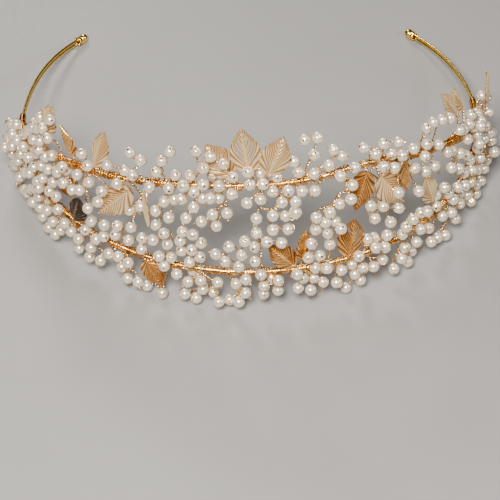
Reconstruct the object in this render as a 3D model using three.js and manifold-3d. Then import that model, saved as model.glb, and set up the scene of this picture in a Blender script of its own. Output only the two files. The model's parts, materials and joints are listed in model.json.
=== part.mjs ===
// A bridal tiara of hand-wired pearl sprays and stamped leaves on two rail wires.
// Millimetres, +Z up, the crown's front faces -Y, and the two arms run back along +Y.
import * as THREE from "three";
import { mergeVertices } from "three/addons/utils/BufferGeometryUtils.js";
import Module from "manifold-3d";

const wasm = await Module();
wasm.setup();

// The crown's face is a half ellipse in plan that leans back as it rises. A place on it is given as
// [angle, height, out]: degrees round the head from the front, mm above the table, mm outside the rails.
const HALF_WIDTH = 81.4;
const FRONT_DEPTH = 71.5;
const CENTRE_Y = 66;
const LEAN = 0.13;
const LEAN_FROM = 15;

// Rail heights every 15 degrees from the left side to the right side.
const RAIL_STEP = 15;
const UPPER_HEIGHTS = [20, 26, 34.5, 41.4, 46.1, 50.2, 51.8, 52.4, 53.1, 46.8, 39.5, 29, 20];
const LOWER_HEIGHTS = [18.8, 18.3, 17, 16, 15.6, 15.3, 15.3, 15.4, 15.3, 15.8, 16.8, 18, 18.8];
const RAIL_R = 0.55;
const RAIL_SIDES = 6;
const RAIL_SECTIONS = 60;
const PAIR_OFFSET = 0.6;
const PAIR_LEAN = 0.27;
const PARTING_ANGLE = 87;
const PARTING_HEIGHT = 19.4;
const ARM_DROP = 6.5;
const ARM_REACH = 24;
const ARM_BEND = [77, 107, 7.5];
const LEFT_TIP = [-64.7, 124.2, 2];
const RIGHT_TIP = [62, 127, 2];
const ARM_POINTS = 8;
const ARM_SETTLED = 0.03;
const FRONT_END = 80;
const FRONT_STEP = 8;

const BALL_R = 1.75;
const BALL_FLAT = 0.2;
const SOCKET_R = 1.32;
const COLLAR_R = 1.62;
const COLLAR_LENGTH = 1.9;
const BALL_LATITUDES = [-54, -24, 6, 36];
const BALL_SIDES = 10;

const BINDING_INNER = [0.85, 1.45];
const BINDING_OUTER = [1.15, 1.75];
const BINDING_LENGTH = 3.6;
const BINDING_SIDES = 12;
const LEFT_BINDING_AT = 0.01;
const RIGHT_BINDING_AT = 0.18;

const WRAP_INNER_R = 0.8;
const WRAP_R = 1.1;
const WRAP_LENGTH = 1.2;
const WRAP_SIDES = 5;

const PEARL_R = 2.05;
const PEARL_OUT = 2;
const TWIG_R = 0.24;
const HUB_REACH = 2.2;
const SHORT_HUB_REACH = 1.65;
const STEM_SINK = 0.2;
const STEM_TURNS = [0, 20, -20, 40, -40, 60, -60, 80, -80, 110, -110, 140, -140, 180];
const ELBOW_BOWS = [1.2, 2.4, 3.6, 4.8, 6];
const ELBOW_TURN = 30;
const CROSSING_COST = 8;

// Pieces keep this far apart. Crowded pearls pile up forwards and upwards, or tuck in backwards and
// downwards, until they fit.
const GAP = 0.12;
const PILE = new THREE.Vector3(0, -0.67, 0.74);
const PILE_STEP = 0.25;
const PILE_LIMIT = 40;

const LEAF_THICK = 0.4;
const LEAF_PROFILE = [[0, 0.15], [0.22, 0.8], [0.5, 1], [0.8, 0.5]];
const LEAF_FACING = new THREE.Vector3(0, -0.3, 0.8);
const LEAF_ROW = 1.2;
const LEAF_ROW_R = 0.45;
const LEAF_STEM_END = 0.06;

const UPPER = railOf(UPPER_HEIGHTS);
const LOWER = railOf(LOWER_HEIGHTS);

const FINISHES = {
  band: { color: 0xc79a3c, metalness: 1, roughness: 0.28 },
  winding: { color: 0xb8763e, metalness: 1, roughness: 0.35 },
  pearl: { color: 0xefe8dc, metalness: 0, roughness: 0.25 },
  champagne: { color: 0xd9c39a, metalness: 1, roughness: 0.4 },
  copper: { color: 0xa9683a, metalness: 1, roughness: 0.4 },
  dark: { color: 0x3a2a22, metalness: 1, roughness: 0.45 },
};

// Leaves: name, rail, angle of the stem's wrap, base, tip, width, roll about the midrib, finish.
const LEAVES = [
  ["left_leaf_1", UPPER, -64, [-60.5, 43, 1], [-58.5, 57.5, 1], 8.5, 0, "champagne"],
  ["left_leaf_2", UPPER, -50.5, [-48.6, 43.2, 1], [-54.1, 52.6, 1], 8, -35, "copper"],
  ["left_leaf_3", UPPER, -39.5, [-40.2, 46, 2], [-37.7, 63.4, 2], 6.5, 0, "champagne"],
  ["left_leaf_4", LOWER, -46.5, [-46, 18, 2], [-44.5, 29.5, 2], 8, 0, "dark"],
  ["left_leaf_5", UPPER, -48, [-49, 29, -1.5], [-56.5, 20, -2], 6.5, 0, "copper"],
  ["left_leaf_6", UPPER, -28.5, [-29.5, 43.5, 2], [-38.5, 27.5, 2], 10, 0, "champagne"],
  ["left_leaf_7", UPPER, -25.8, [-25.8, 46, 2], [-24.3, 30.5, 2], 7, 60, "champagne"],
  ["left_leaf_8", LOWER, -25, [-25, 15.5, 2], [-20.5, 6, 2], 8, 0, "copper"],
  ["front_leaf_1", UPPER, -5, [-4.2, 55.5, 0.4], [-11, 67.9, 0.4], 10, 0, "champagne"],
  ["front_leaf_2", UPPER, -1.8, [-0.2, 58.4, 2.4], [-2.2, 77, 2.4], 10, 0, "champagne"],
  ["front_leaf_3", UPPER, 3.6, [4.2, 57, 2], [8, 73.2, 2], 10, 0, "champagne"],
  ["front_leaf_4", LOWER, 10.2, [10.6, 18.5, 2], [4.2, 28.5, 2], 8, 0, "copper"],
  ["front_leaf_5", LOWER, 12.4, [12.4, 20, 1], [13.2, 33, 1], 7, 40, "copper"],
  ["right_leaf_1", LOWER, 23.4, [23.4, 17.5, 2], [25.2, 34, 2], 9.5, 0, "copper"],
  ["right_leaf_2", UPPER, 29.4, [28.6, 51.8, 2.4], [25.2, 36.5, 2], 8, 25, "copper"],
  ["right_leaf_3", UPPER, 31.5, [32.5, 47.5, 2], [39.2, 32, 2], 10.5, 0, "champagne"],
  ["right_leaf_4", UPPER, 40.4, [40.8, 49, 1], [41.2, 35, 1], 7, -30, "copper"],
  ["right_leaf_5", LOWER, 48.6, [48.9, 24, 2], [46.5, 37.5, 2], 8, 0, "champagne"],
  ["right_leaf_6", UPPER, 63, [64.5, 46, 0.5], [60.3, 58.8, -3], 7, 15, "champagne"],
  ["right_leaf_7", UPPER, 68.5, [70, 44, -0.5], [66.3, 55.6, -3], 6, 15, "champagne"],
  ["right_leaf_8", UPPER, 80, [85.5, 29, 4], [82, 49.5, 5], 5.5, 6, "champagne"],
];

// Pearl sprays from left to right: name, rail, angle of the wire's wrap, and each pearl's place.
const SPRAYS = [
  ["upper_spray_1", UPPER, -76, [
    [-71, 33], [-73, 29.5], [-76.5, 30, -2.5], [-70.5, 27, 3], [-81, 25, 2.5], [-75, 25, 3.5], [-79, 23, 4],
    [-83, 23, 4], [-79.5, 16.5, 6.5], [-86, 20, 4.5], [-82, 18, 5], [-77, 20, 4.5], [-72, 22, 3],
  ]],
  ["upper_spray_2", UPPER, -61.5, [
    [-57, 52.5], [-63, 48.5], [-60.5, 45.5], [-63.5, 42.5], [-66.5, 40], [-61.5, 39], [-62, 34.5],
    [-65.5, 35.5], [-69, 36], [-60.5, 29], [-64, 31], [-67, 31],
  ]],
  ["upper_spray_3", UPPER, -54.5, [
    [-55.5, 38.5], [-51, 37.5], [-57.5, 44], [-53, 33.5], [-57, 31], [-54.5, 27.5], [-58.5, 35],
    [-50.5, 31], [-47, 31],
  ]],
  ["upper_spray_4", UPPER, -44, [
    [-44.3, 49], [-42.2, 45.5], [-45.5, 39], [-41.5, 38.8], [-49.5, 38], [-37.3, 38], [-38.3, 32.7],
    [-44.5, 33], [-41.5, 27.5],
  ]],
  ["upper_spray_5", UPPER, -31, [
    [-29.8, 59], [-26.7, 57.5], [-31, 51], [-28.7, 50], [-36, 50], [-33, 44], [-24.2, 47.3],
    [-26.6, 38.3], [-29.5, 35], [-28.8, 28],
  ]],
  ["upper_spray_6", UPPER, -20, [
    [-19.3, 64], [-21.3, 59.5], [-22.6, 54.5], [-17.7, 55], [-19.3, 49], [-20.5, 43], [-22.6, 38.2],
    [-22.5, 32.3], [-17.9, 45], [-19.2, 36.8],
  ]],
  ["upper_spray_7", UPPER, -13, [
    [-12.8, 66], [-14.2, 56], [-11, 59.5], [-13.2, 49.5], [-11, 52.8], [-11, 47.5], [-9.3, 64.5],
    [-15.7, 51], [-16.2, 45.5], [-13.2, 43], [-15, 38],
  ]],
  ["upper_spray_8", UPPER, -8, [
    [-8.8, 57.5], [-7.2, 52.8], [-6.2, 62], [-9.3, 47.5], [-7.3, 48], [-8.7, 41], [-5.3, 42],
    [-11.3, 37.5], [-7.8, 36.3], [-4, 57],
  ]],
  ["upper_spray_9", UPPER, 0.6, [
    [-0.5, 59], [0, 54], [-0.7, 46.5], [2.4, 58.7], [3, 54], [2.5, 48], [-4.2, 50],
  ]],
  ["upper_spray_10", UPPER, 7.5, [
    [6.4, 57], [5.3, 51], [9, 50.8], [7.5, 46.3], [10.7, 46], [10.8, 41.5], [8.3, 40.5], [5.3, 41],
    [1.5, 40], [12.3, 50],
  ]],
  ["upper_spray_11", UPPER, 13.5, [
    [10.4, 62.5], [11.4, 58], [15.3, 56.3], [15.3, 64], [13.1, 70.5], [16.3, 70.5], [20.2, 64.5],
    [22.4, 61], [19, 58.5],
  ]],
  ["upper_spray_12", UPPER, 18.5, [
    [15.4, 49.3], [15.6, 38], [19, 39], [21.5, 41.7], [24.3, 42.3], [24.8, 48], [21.8, 53],
    [17.8, 35.3], [20.3, 34.8],
  ]],
  ["upper_spray_13", UPPER, 33, [
    [25.6, 55], [28.1, 61.8], [31.3, 57.5], [33.7, 60.5], [29.7, 46], [33.3, 51], [38.2, 58.3],
    [36, 54.7], [38.8, 52], [36.6, 48.7], [33, 43],
  ]],
  ["upper_spray_14", UPPER, 38.5, [
    [37.3, 37.3], [33, 34.5], [29.5, 36.7], [30.5, 30.8], [37.5, 30.7], [34.9, 26.3], [42.8, 43.7],
    [43.9, 33], [42.8, 52.3],
  ]],
  ["upper_spray_15", UPPER, 51, [
    [47.8, 57], [50.5, 57.5], [54, 55.5], [57.5, 53], [52, 46.5], [55.5, 40], [57.8, 38.5],
    [46.5, 39.5], [46.5, 46], [47.5, 50.5], [50, 39],
  ]],
  ["upper_spray_16", UPPER, 60, [
    [62, 43.5], [64.5, 41.5], [61.5, 33.5], [66, 35], [57, 31.5], [60.5, 27.5], [64.5, 29.5], [68, 40],
    [70, 36.5], [67, 24.5], [63, 23],
  ]],
  ["upper_spray_17", UPPER, 76, [
    [72.5, 39, 1], [79, 32.5, 1], [72, 31, 3], [76, 33, 3], [71.5, 35.5, 4], [84, 36, 3], [68.7, 31.3, 5],
    [87.9, 29.3, 4], [75, 26, 4], [79, 24, 5], [75.5, 31.6, 5], [87.9, 22.8, 4], [71.5, 25, 3],
    [82.5, 19.5, 5],
  ]],
  ["lower_spray_1", LOWER, -77, [
    [-74, 16, 3], [-76, 11.5, 3], [-79, 14, 4], [-75, 6, 2], [-79, 9, 3], [-83, 13, 4], [-81, 5, 2],
    [-86, 15, 3], [-72, 11, 3],
  ]],
  ["lower_spray_2", LOWER, -65, [
    [-64.5, 24], [-66.5, 19], [-63, 15.5], [-65.5, 12.5], [-67.5, 8.5], [-64, 8], [-70, 7], [-70, 15],
    [-68.5, 24], [-62, 20], [-71, 19], [-60.5, 14.5],
  ]],
  ["lower_spray_3", LOWER, -56, [
    [-56, 22], [-53, 22.5], [-57, 17.5], [-52, 17.5], [-60, 10], [-56.5, 12.5], [-58.5, 7.5],
    [-55.5, 5.5], [-52.5, 5.5], [-53.8, 10], [-50.5, 9.5], [-59.5, 24], [-60, 19],
  ]],
  ["lower_spray_4", LOWER, -43, [
    [-46.7, 12.5], [-49, 14], [-44, 11.5], [-43.8, 7.5], [-42, 17.5], [-40.2, 22.8], [-38.5, 16],
    [-36.3, 19], [-36.3, 24], [-40, 11], [-40.3, 6.5], [-37, 7.5],
  ]],
  ["lower_spray_5", LOWER, -31, [
    [-34.7, 12.5], [-32, 13], [-31, 9], [-32.5, 26.3], [-33, 22], [-29.3, 22], [-29.2, 12],
    [-29.3, 5], [-26.5, 5], [-25.8, 25], [-25.8, 20],
  ]],
  ["lower_spray_6", LOWER, -19.5, [
    [-24.3, 4.5], [-20.7, 2.1, 1], [-20.1, 15.5], [-21.4, 19.2], [-18.4, 20], [-23, 25.5], [-19.4, 25.3],
    [-20.3, 29.5], [-17, 13.2],
  ]],
  ["lower_spray_7", LOWER, -14.5, [
    [-16, 23.8], [-16.3, 28], [-15.8, 32], [-13.3, 31.5], [-13.5, 24.8], [-14, 19.5], [-11.3, 28.5],
    [-11.5, 22.3],
  ]],
  ["lower_spray_8", LOWER, -11.5, [
    [-13.2, 15.7], [-14.3, 10.7], [-11.3, 12], [-10.8, 8.3], [-15, 5], [-12.3, 4], [-7.4, 12],
    [-8.4, 7.5], [-7.2, 2.1, 0.6],
  ]],
  ["lower_spray_9", LOWER, -3.5, [
    [-7.9, 24.3], [-5.7, 21.5], [-4.8, 28], [-4.6, 4.7], [-2.5, 4], [-3.2, 12], [-0.9, 14], [-1, 8],
    [-2.5, 19.5], [-1.9, 24.5], [-1.2, 30.5],
  ]],
  ["lower_spray_10", LOWER, 3.5, [
    [1.1, 28], [1.2, 21.8], [1.5, 34], [2.5, 16], [5, 14.5], [6.5, 13], [3.2, 11], [3.1, 7.5],
    [6.4, 8.8], [3.9, 30], [7.3, 29.2], [5.3, 35], [8.9, 34.8],
  ]],
  ["lower_spray_11", LOWER, 14, [
    [10.8, 15], [12.3, 13], [11, 8.8], [14, 7], [14.8, 12.3], [15.2, 16.5], [13.5, 21.5], [16.3, 21.5],
    [14.3, 27.3],
  ]],
  ["lower_spray_12", LOWER, 19, [
    [17.8, 15.5], [17, 9.6], [20.2, 8], [18.8, 25.5], [18.3, 30.3], [21.5, 31], [15.4, 33], [21.5, 13],
  ]],
  ["lower_spray_13", LOWER, 28.5, [
    [23.2, 2.1, -0.4], [24.3, 14.2], [24.9, 9.5], [26.3, 6], [27, 11.2], [25.8, 17], [28.5, 23],
    [30.3, 22.5], [30.3, 18], [33, 16.8], [32.3, 11.5], [29.7, 10], [33.8, 21.3],
  ]],
  ["lower_spray_14", LOWER, 41.5, [
    [35.3, 5], [37.8, 7.8], [39.5, 5], [38.8, 12], [42.5, 11.5], [41, 8.5], [38.2, 18.5], [39.3, 20.8],
    [41.8, 22.3], [44, 16], [46.8, 14], [44.5, 23], [46.3, 22],
  ]],
  ["lower_spray_15", LOWER, 54, [
    [47.5, 7], [50, 6.5], [53, 4.5], [50.2, 26], [50, 21], [52, 14.5], [55, 22], [56, 12], [57.5, 7.5],
    [53.5, 26], [57, 17], [59.5, 20], [60, 12], [61, 16],
  ]],
  ["lower_spray_16", LOWER, 72, [
    [63, 17], [64.5, 11], [67, 14], [68, 18.5], [70, 9], [72, 14], [73, 19, 3], [66, 6], [76, 10, 3],
    [77.5, 17, 6.7], [80, 19, 5], [83, 15, 4], [70, 5], [75, 5, 2], [80, 9, 3],
  ]],
];

/** The rail's height as a function of the angle round the head. */
function railOf(heights) {
  const curve = new THREE.SplineCurve(heights.map((h, i) => new THREE.Vector2(i * RAIL_STEP - 90, h)));
  return (angle) => curve.getPoint((angle + 90) / 180).y;
}

function onFace([angle, height, out = 0]) {
  const a = THREE.MathUtils.degToRad(angle);
  const r = out - LEAN * (height - LEAN_FROM);
  const x = (HALF_WIDTH + r) * Math.sin(a);
  const y = CENTRE_Y - (FRONT_DEPTH + r) * Math.cos(a);
  return new THREE.Vector3(x, y, height);
}

function outward(angle) {
  return onFace([angle, LEAN_FROM, 1]).sub(onFace([angle, LEAN_FROM, 0])).normalize();
}

function railPoint(rail, angle) {
  return onFace([angle, rail(angle)]);
}

function railTangent(rail, angle) {
  return railPoint(rail, angle + 0.5).sub(railPoint(rail, angle - 0.5)).normalize();
}

// Solids -----------------------------------------------------------------------------------------

function solid(geometry) {
  geometry.deleteAttribute("normal");
  geometry.deleteAttribute("uv");
  const merged = mergeVertices(geometry, 1e-4);
  const vertProperties = merged.attributes.position.array;
  const triVerts = new Uint32Array(merged.index.array);
  return new wasm.Manifold(new wasm.Mesh({ numProp: 3, vertProperties, triVerts }));
}

function geometryOf(manifold) {
  const { vertProperties, triVerts } = manifold.getMesh();
  const geometry = new THREE.BufferGeometry();
  geometry.setAttribute("position", new THREE.BufferAttribute(vertProperties, 3));
  geometry.setIndex(new THREE.BufferAttribute(triVerts, 1));
  return geometry;
}

function ellipsePoints(rx, ry, sides) {
  return Array.from({ length: sides }, (_, i) => {
    const t = (2 * Math.PI * i) / sides;
    return new THREE.Vector2(rx * Math.cos(t), ry * Math.sin(t));
  });
}

/** A wire of round section along a curve, closed at both ends. */
function wireSolid(curve) {
  const shape = new THREE.Shape(ellipsePoints(RAIL_R, RAIL_R, RAIL_SIDES));
  const options = { steps: RAIL_SECTIONS, extrudePath: curve, bevelEnabled: false };
  return new THREE.ExtrudeGeometry(shape, options);
}

/** Moves a shape built along +Z to a place, with its Z along one direction and its Y near another. */
function place(geometry, origin, along, up) {
  const z = along.clone().normalize();
  const x = up.clone().cross(z).normalize();
  const y = z.clone().cross(x);
  return geometry.applyMatrix4(new THREE.Matrix4().makeBasis(x, y, z).setPosition(origin));
}

/** An open sleeve: an oval tube with walls, centred on a point. */
function sleeve(origin, along, up, inner, outer, sides, length) {
  const shape = new THREE.Shape(ellipsePoints(outer[0], outer[1], sides));
  shape.holes.push(new THREE.Path(ellipsePoints(inner[0], inner[1], sides)));
  const geometry = new THREE.ExtrudeGeometry(shape, { depth: length, bevelEnabled: false });
  return place(geometry.translate(0, 0, -length / 2), origin, along, up);
}

function wrapRound(rail, angle) {
  const middle = railPoint(rail, angle);
  const along = railTangent(rail, angle);
  const inner = [WRAP_INNER_R, WRAP_INNER_R];
  const outer = [WRAP_R, WRAP_R];
  return sleeve(middle, along, outward(angle), inner, outer, WRAP_SIDES, WRAP_LENGTH);
}

function twig(from, to) {
  const geometry = new THREE.CylinderGeometry(TWIG_R, TWIG_R, from.distanceTo(to), 3).rotateX(Math.PI / 2);
  const along = to.clone().sub(from);
  const isLevel = Math.abs(along.x) > Math.abs(along.z);
  const up = isLevel ? new THREE.Vector3(0, 0, 1) : new THREE.Vector3(1, 0, 0);
  return place(geometry, from.clone().lerp(to, 0.5), along, up);
}

const FACE_NORMALS = faceNormals(new THREE.IcosahedronGeometry(PEARL_R, 0));
const FACE_DEPTH = 0.7947 * PEARL_R;

function faceNormals(geometry) {
  const corners = geometry.getAttribute("position");
  const normals = [];
  for (let i = 0; i < corners.count; i += 3) {
    const [a, b, c] = [0, 1, 2].map((k) => new THREE.Vector3().fromBufferAttribute(corners, i + k));
    normals.push(a.add(b).add(c).normalize());
  }
  return normals;
}

/** A pearl as an icosahedron, turned so that its wire enters the middle of a face. */
function pearl({ centre, turn }) {
  const turned = new THREE.IcosahedronGeometry(PEARL_R, 0).applyQuaternion(turn);
  return turned.translate(centre.x, centre.y, centre.z);
}

// Clearances: every piece is also a few capsules, each a line with a radius ------------------------

function capsule(from, to, radius, owner) {
  return { from, to, line: new THREE.Line3(from, to), radius, owner };
}

function lineGap(a, b) {
  return Math.sqrt(a.line.distanceSqToLine3(b.line)) - a.radius - b.radius;
}

function isClear(piece, obstacles) {
  return obstacles.every((o) => o.owner === piece.owner || lineGap(piece, o) >= GAP);
}

function railCapsules(rail) {
  const points = Array.from({ length: 61 }, (_, i) => railPoint(rail, -90 + 3 * i));
  return points.slice(1).map((point, i) => capsule(points[i], point, RAIL_R, "rail"));
}

function wrapCapsule(rail, angle, owner) {
  const half = railTangent(rail, angle).multiplyScalar(WRAP_LENGTH / 2);
  const middle = railPoint(rail, angle);
  return capsule(middle.clone().sub(half), middle.clone().add(half), WRAP_R, owner);
}

// Rails, end balls and bindings --------------------------------------------------------------------

function armCurve(side) {
  const root = onFace([PARTING_ANGLE * side, PARTING_HEIGHT]);
  const tip = new THREE.Vector3(...(side < 0 ? LEFT_TIP : RIGHT_TIP));
  const parting = root.clone().add(new THREE.Vector3(0, ARM_REACH, -ARM_DROP));
  const bend = new THREE.Vector3(ARM_BEND[0] * side, ARM_BEND[1], ARM_BEND[2]);
  return new THREE.CubicBezierCurve3(root, parting, bend, tip);
}

const PAIR_UP = new THREE.Vector3(0, PAIR_LEAN, 1).normalize();

/** One rail wire from tip to tip: beside its twin on the arms, at its own height round the front. */
function railCurve(rail, sign) {
  const arm = (side) => {
    const curve = armCurve(side);
    const ts = [0, ARM_SETTLED];
    for (let i = 1; i <= ARM_POINTS; i++) ts.push(i / ARM_POINTS);
    return ts.map((t) => curve.getPoint(t).addScaledVector(PAIR_UP, sign * PAIR_OFFSET));
  };
  const front = [];
  for (let a = -FRONT_END; a <= FRONT_END; a += FRONT_STEP) front.push(railPoint(rail, a));
  const points = [...arm(-1).reverse(), ...front, ...arm(1)];
  return new THREE.CatmullRomCurve3(points, false, "centripetal");
}

/** A bead with a collar that takes both wire ends, cut flat where it meets the table. */
function endBall(side) {
  const curve = armCurve(side);
  const end = curve.getPoint(1);
  const along = curve.getTangent(1);
  const profile = [new THREE.Vector2(0, -BALL_R)];
  for (const latitude of BALL_LATITUDES) {
    const a = THREE.MathUtils.degToRad(latitude);
    profile.push(new THREE.Vector2(BALL_R * Math.cos(a), BALL_R * Math.sin(a)));
  }
  const top = BALL_R + COLLAR_LENGTH;
  const collar = [[COLLAR_R, BALL_R], [COLLAR_R, top], [SOCKET_R, top], [SOCKET_R, BALL_R], [0, BALL_R]];
  profile.push(...collar.map(([r, z]) => new THREE.Vector2(r, z)));
  const bead = new THREE.LatheGeometry(profile, BALL_SIDES).rotateX(-Math.PI / 2);
  const centre = end.clone().addScaledVector(along, BALL_R + GAP);
  centre.z = BALL_R - BALL_FLAT;
  const table = new THREE.BoxGeometry(20, 20, 10).translate(centre.x, centre.y, -5);
  return geometryOf(solid(place(bead, centre, along, PAIR_UP)).subtract(solid(table)));
}

/** A sleeve of fine wire round both rails where they meet. */
function sideBinding(side) {
  const curve = armCurve(side);
  const at = side < 0 ? LEFT_BINDING_AT : RIGHT_BINDING_AT;
  const middle = curve.getPoint(at);
  const along = curve.getTangent(at);
  return sleeve(middle, along, PAIR_UP, BINDING_INNER, BINDING_OUTER, BINDING_SIDES, BINDING_LENGTH);
}

// Leaves -------------------------------------------------------------------------------------------

function leafFrame([, , , base, tip, width, roll]) {
  const from = onFace(base);
  const along = onFace(tip).sub(from);
  const middleAngle = (base[0] + tip[0]) / 2;
  const facing = outward(middleAngle).add(LEAF_FACING);
  const across = along.clone().cross(facing).normalize();
  across.applyAxisAngle(along.clone().normalize(), THREE.MathUtils.degToRad(roll));
  return { from, along, across, width };
}

function leafSolid(leaf) {
  const { from, along, across, width } = leafFrame(leaf);
  const length = along.length();
  const side = LEAF_PROFILE.map(([s, w]) => new THREE.Vector2((w * width) / 2, s * length));
  const mirrored = side.map((p) => new THREE.Vector2(-p.x, p.y)).reverse();
  const outline = new THREE.Shape([...side, new THREE.Vector2(0, length), ...mirrored]);
  const blade = new THREE.ExtrudeGeometry(outline, { depth: LEAF_THICK, bevelEnabled: false });
  blade.translate(0, 0, -LEAF_THICK / 2);
  return place(blade, from, across.clone().cross(along), along);
}

function leafStem([, rail, angle, base, tip]) {
  const centre = railPoint(rail, angle);
  const foot = onFace(base);
  const surface = centre.clone().add(foot.clone().sub(centre).setLength(WRAP_R - STEM_SINK));
  return [surface, foot.lerp(onFace(tip), LEAF_STEM_END)];
}

function leafCapsules(leaf) {
  const { from, along, across, width } = leafFrame(leaf);
  const rows = Math.ceil(along.length() / LEAF_ROW);
  const found = [];
  for (let i = 0; i <= rows; i++) {
    const s = i / rows;
    const k = LEAF_PROFILE.findLastIndex((p) => p[0] <= s);
    const [s0, w0] = LEAF_PROFILE[k];
    const [s1, w1] = LEAF_PROFILE[k + 1] ?? [1, 0];
    const half = (width / 2) * THREE.MathUtils.mapLinear(s, s0, s1, w0, w1);
    const middle = from.clone().addScaledVector(along, s);
    const reach = across.clone().multiplyScalar(half);
    found.push(capsule(middle.clone().sub(reach), middle.clone().add(reach), LEAF_ROW_R, leaf[0]));
  }
  return found;
}

// Sprays -------------------------------------------------------------------------------------------

function settle(wanted, owner, obstacles) {
  for (let step = 0; step <= PILE_LIMIT; step++) {
    for (const sign of [1, -1]) {
      const centre = wanted.clone().addScaledVector(PILE, sign * step * PILE_STEP);
      const ball = capsule(centre, centre, PEARL_R, owner);
      const free = obstacles.every((o) => lineGap(ball, o) >= GAP / 2);
      if (centre.z >= PEARL_R && free) return ball;
    }
  }
  throw new Error(owner + ": no room for a pearl at " + wanted.toArray());
}

/** The short stem from the wrap to the point where the spray's wire branches. */
function growStem(rail, angle, owner, balls, obstacles) {
  const centre = railPoint(rail, angle);
  const axis = railTangent(rail, angle);
  const middle = new THREE.Vector3();
  balls.forEach((b) => middle.addScaledVector(b.from, 1 / balls.length));
  const best = middle.sub(centre).projectOnPlane(axis).normalize();
  for (const reach of [HUB_REACH, SHORT_HUB_REACH]) {
    for (const turn of STEM_TURNS) {
      const direction = best.clone().applyAxisAngle(axis, THREE.MathUtils.degToRad(turn));
      const at = (distance) => centre.clone().addScaledVector(direction, distance);
      const free = isClear(capsule(at(WRAP_R), at(reach), TWIG_R, owner), obstacles);
      if (free) return capsule(at(WRAP_R - STEM_SINK), at(reach), TWIG_R, owner);
    }
  }
  throw new Error(owner + ": no room for its stem");
}

/** Where a wire to the next pearl starts: just inside the middle of the pearl's nearest face. */
function exitPoint({ centre, turn }, target) {
  if (!turn) return centre;
  const along = target.clone().sub(centre);
  const normals = FACE_NORMALS.map((n) => n.clone().applyQuaternion(turn));
  const best = normals.reduce((a, b) => (b.dot(along) > a.dot(along) ? b : a));
  return centre.clone().addScaledVector(best, FACE_DEPTH - TWIG_R);
}

function straightTwig(from, to, owner, obstacles) {
  const piece = capsule(from, to, TWIG_R, owner);
  return isClear(piece, obstacles) ? [piece] : null;
}

function bentTwig(from, to, owner, obstacles) {
  const along = to.clone().sub(from).normalize();
  const side = along.clone().cross(PILE).normalize();
  for (const bow of ELBOW_BOWS) {
    for (let turn = 0; turn < 360; turn += ELBOW_TURN) {
      const shift = side.clone().applyAxisAngle(along, THREE.MathUtils.degToRad(turn)).multiplyScalar(bow);
      const elbow = from.clone().lerp(to, 0.5).add(shift);
      const first = straightTwig(from, elbow, owner, obstacles);
      const second = first && straightTwig(elbow, to, owner, obstacles);
      if (second) return [...first, ...second];
    }
  }
  return null;
}

/** Pearls of the same spray that a wire between two of them would run through. */
function pearlsBetween(start, target, centres) {
  const piece = capsule(start, target, TWIG_R);
  const others = centres.filter((c) => c !== start && c !== target);
  return others.filter((c) => lineGap(piece, capsule(c, c, PEARL_R)) < 0).length;
}

function shortestWay(way, joined, waiting, centres, owner, obstacles) {
  const pairs = joined.flatMap((start) => waiting.map((target) => {
    const crossed = CROSSING_COST * pearlsBetween(start.centre, target, centres);
    return { start, target, cost: start.centre.distanceTo(target) + crossed };
  }));
  for (const pair of pairs.sort((a, b) => a.cost - b.cost)) {
    const twigs = way(exitPoint(pair.start, pair.target), pair.target, owner, obstacles);
    if (twigs) return { ...pair, twigs };
  }
  return null;
}

/** Joins every pearl to the stem, each by the shortest free way from what is joined already. */
function growTwigs(stem, centres, owner, obstacles) {
  const joined = [{ centre: stem.to }];
  const waiting = [...centres];
  const twigs = [];
  while (waiting.length) {
    const grown = shortestWay(straightTwig, joined, waiting, centres, owner, obstacles)
      ?? shortestWay(bentTwig, joined, waiting, centres, owner, obstacles);
    if (!grown) throw new Error(owner + ": no way to a pearl at " + waiting[0].toArray());
    const back = grown.twigs.at(-1).from.clone().sub(grown.target).normalize();
    const turn = new THREE.Quaternion().setFromUnitVectors(FACE_NORMALS[0], back);
    twigs.push(...grown.twigs);
    joined.push({ centre: grown.target, turn });
    waiting.splice(waiting.indexOf(grown.target), 1);
  }
  return { twigs, pearls: joined.slice(1) };
}

function join(geometries) {
  return geometryOf(geometries.map(solid).reduce((whole, piece) => whole.add(piece)));
}

// The whole tiara ------------------------------------------------------------------------------------

const tiara = new THREE.Group();

function addPiece(name, geometry, finish) {
  const mesh = new THREE.Mesh(geometry, new THREE.MeshStandardMaterial(FINISHES[finish]));
  mesh.name = name;
  tiara.add(mesh);
}

addPiece("upper_rail_wire", wireSolid(railCurve(UPPER, 1)), "band");
addPiece("lower_rail_wire", wireSolid(railCurve(LOWER, -1)), "band");
for (const [name, side] of [["left", -1], ["right", 1]]) {
  addPiece(name + "_end_ball", endBall(side), "band");
  addPiece(name + "_side_binding", sideBinding(side), "winding");
}

const obstacles = [...railCapsules(UPPER), ...railCapsules(LOWER)];
for (const leaf of LEAVES) {
  const [name, rail, angle, , , , , finish] = leaf;
  const stem = leafStem(leaf);
  obstacles.push(wrapCapsule(rail, angle, name), capsule(...stem, TWIG_R, name), ...leafCapsules(leaf));
  addPiece(name, join([wrapRound(rail, angle), twig(...stem), leafSolid(leaf)]), finish);
}
for (const [name, rail, angle] of SPRAYS) obstacles.push(wrapCapsule(rail, angle, name));

const placed = SPRAYS.map(([name, , , places]) => places.map(([angle, height, out = PEARL_OUT]) => {
  const ball = settle(onFace([angle, height, out]), name, obstacles);
  obstacles.push(ball);
  return ball;
}));
const stems = SPRAYS.map(([name, rail, angle], i) => {
  const stem = growStem(rail, angle, name, placed[i], obstacles);
  obstacles.push(stem);
  return stem;
});
SPRAYS.forEach(([name, rail, angle], i) => {
  const centres = placed[i].map((ball) => ball.from);
  const { twigs, pearls } = growTwigs(stems[i], centres, name, obstacles);
  obstacles.push(...twigs);
  const wires = [stems[i], ...twigs].map(({ from, to }) => twig(from, to));
  addPiece(name, join([wrapRound(rail, angle), ...wires, ...pearls.map(pearl)]), "pearl");
});

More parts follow.
